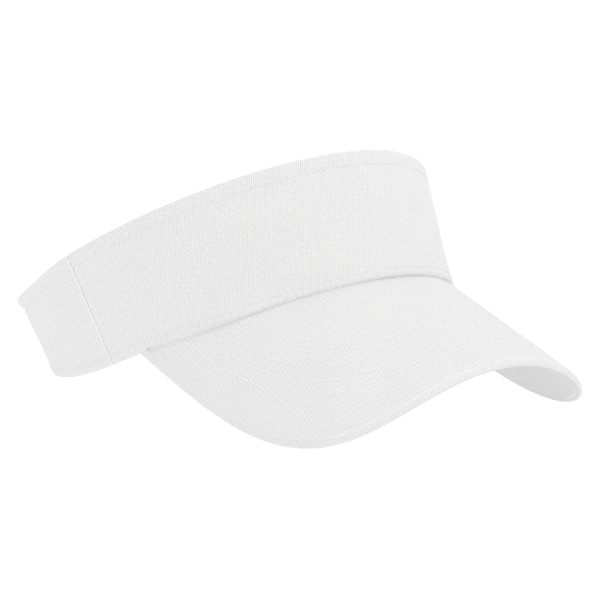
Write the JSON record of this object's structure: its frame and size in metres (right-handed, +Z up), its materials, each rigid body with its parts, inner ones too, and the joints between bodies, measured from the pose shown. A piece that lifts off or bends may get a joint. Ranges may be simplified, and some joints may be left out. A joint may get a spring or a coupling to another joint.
{
  "type": "sun visor",
  "caption": "White cotton-twill sun visor: an open-topped crown band with a curved stitched brim in front and a hook-and-loop size tab at the nape.",
  "frame": {"origin": "on the surface it stands on, under the middle of its box", "axes": "+Z up with the visor standing on its brim corners and the back of its band, the wearer faces -Y, +X is the wearer's left"},
  "size_m": [0.183, 0.2674, 0.1082],
  "materials": {
    "crown_twill": "white cotton twill, fine upright diagonal weave, washed",
    "brim_twill": "white cotton twill, fine diagonal weave, stretched over the brim board",
    "under_twill": "white cotton twill, under the brim",
    "lining_cloth": "plain white cotton lining",
    "buckram_cloth": "stiff open-weave interlining",
    "sweatband_cloth": "soft folded cotton sweatband",
    "tape_cloth": "narrow woven cotton tape",
    "thread": "white polyester sewing thread",
    "board_plastic": "flexible moulded sheet",
    "hook_plastic": "rows of small moulded hooks on a woven tape",
    "loop_pile": "soft looped pile on a woven tape",
    "label_cloth": "blank satin label"
  },
  "bodies": {
    "visor": {"front_panel": "crown_twill", "back_panel_right": "crown_twill", "back_panel_left": "crown_twill", "tab_anchor": "crown_twill", "front_lining": "lining_cloth", "back_lining_right": "lining_cloth", "back_lining_left": "lining_cloth", "top_hem_facing": "lining_cloth", "front_buckram": "buckram_cloth", "sweatband_front": "sweatband_cloth", "sweatband_right": "sweatband_cloth", "sweatband_left": "sweatband_cloth", "seam_tape_right": "tape_cloth", "seam_tape_left": "tape_cloth", "brim_seam_tape": "tape_cloth", "top_hem_stitching": "thread", "bottom_edge_stitching": "thread", "side_seam_stitching_right": "thread", "side_seam_stitching_left": "thread", "brim_stitch_row_1": "thread", "brim_stitch_row_2": "thread", "brim_stitch_row_3": "thread", "brim_stitch_row_4": "thread", "brim_board": "board_plastic", "brim_top_cover": "brim_twill", "brim_under_cover": "under_twill", "loop_tape": "loop_pile", "size_label": "label_cloth"},
    "tab": {"closure_tab": "crown_twill", "hook_tape": "hook_plastic"}
  },
  "joints": [
    {"name": "tab_peel", "type": "hinge", "parent": "visor", "child": "tab", "pos_m": [-0.027, 0.12423, 0.01131], "axis": [0, 0.6077, 0.7942], "range_deg": [0, 120]}
  ]
}
